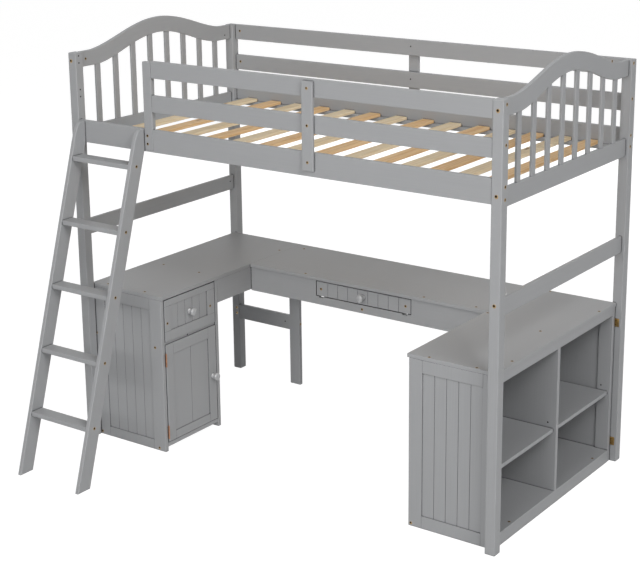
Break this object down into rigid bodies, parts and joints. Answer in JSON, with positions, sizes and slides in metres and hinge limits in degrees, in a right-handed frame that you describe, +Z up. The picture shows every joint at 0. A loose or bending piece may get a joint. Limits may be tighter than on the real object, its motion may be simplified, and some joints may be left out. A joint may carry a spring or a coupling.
{
  "type": "loft bed",
  "caption": "High bed with slatted deck, guard rails, arched spindle ends and leaning ladder over a U-shaped desk with a hinged-door cabinet, drawers and open shelves",
  "frame": {"origin": "on the floor, under the middle of the outline, ladder feet included", "axes": "+X runs along the bed from the ladder end to the bookcase end, +Y runs from the ladder side to the back, +Z is up"},
  "size_m": [2.02, 1.541, 1.766],
  "materials": {
    "painted_wood": "satin grey paint",
    "pale_pine": "clear matt lacquer on pale pine",
    "warm_pine": "clear matt lacquer on warm pine",
    "copper_hinge": "satin copper plating"
  },
  "bodies": {
    "frame": {"post_front_left": "painted_wood", "post_front_right": "painted_wood", "post_back_left": "painted_wood", "post_back_right": "painted_wood", "end_panel_left": "painted_wood", "end_stretcher_left": "painted_wood", "end_panel_right": "painted_wood", "end_stretcher_right": "painted_wood", "bed_rail_front": "painted_wood", "bed_rail_back": "painted_wood", "guard_front_top": "painted_wood", "guard_back_top": "painted_wood", "guard_front_mid": "painted_wood", "guard_back_mid": "painted_wood", "guard_upright_gate": "painted_wood", "guard_upright_front": "painted_wood", "guard_upright_back": "painted_wood", "slat_01": "pale_pine", "slat_02": "warm_pine", "slat_03": "pale_pine", "slat_04": "warm_pine", "slat_05": "pale_pine", "slat_06": "warm_pine", "slat_07": "pale_pine", "slat_08": "warm_pine", "slat_09": "pale_pine", "slat_10": "warm_pine", "slat_11": "pale_pine", "slat_12": "warm_pine", "slat_13": "pale_pine", "slat_14": "warm_pine", "ladder_stile_left": "painted_wood", "ladder_stile_right": "painted_wood", "ladder_tread_1": "painted_wood", "ladder_tread_2": "painted_wood", "ladder_tread_3": "painted_wood", "ladder_tread_4": "painted_wood", "ladder_tread_5": "painted_wood", "desktop_left": "painted_wood", "desktop_back": "painted_wood", "desktop_right": "painted_wood", "apron_left": "painted_wood", "apron_back": "painted_wood", "desk_leg": "painted_wood", "leg_stretcher": "painted_wood", "cabinet_front_panel": "painted_wood", "cabinet_carcass": "painted_wood", "hinge_lower": "copper_hinge", "hinge_upper": "copper_hinge", "bookcase_front_panel": "painted_wood", "bookcase_side_panel": "painted_wood", "bookcase_carcass": "painted_wood", "shelf_front": "painted_wood", "shelf_back": "painted_wood"},
    "cabinet_door": {"cabinet_door": "painted_wood", "door_knob": "painted_wood"},
    "cabinet_drawer": {"cabinet_drawer": "painted_wood", "cabinet_drawer_knob": "painted_wood"},
    "desk_drawer": {"desk_drawer": "painted_wood", "desk_drawer_knob": "painted_wood"}
  },
  "joints": [
    {"name": "door_hinge", "type": "hinge", "parent": "frame", "child": "cabinet_door", "pos_m": [-0.5918, -0.238, 0.2465], "axis": [0, 0, -1], "range_deg": [0, 105]},
    {"name": "cabinet_drawer_slide", "type": "slide", "parent": "frame", "child": "cabinet_drawer", "axis": [1, 0, 0], "range_m": [0, 0.26]},
    {"name": "desk_drawer_slide", "type": "slide", "parent": "frame", "child": "desk_drawer", "axis": [0, -1, 0], "range_m": [0, 0.24]}
  ]
}
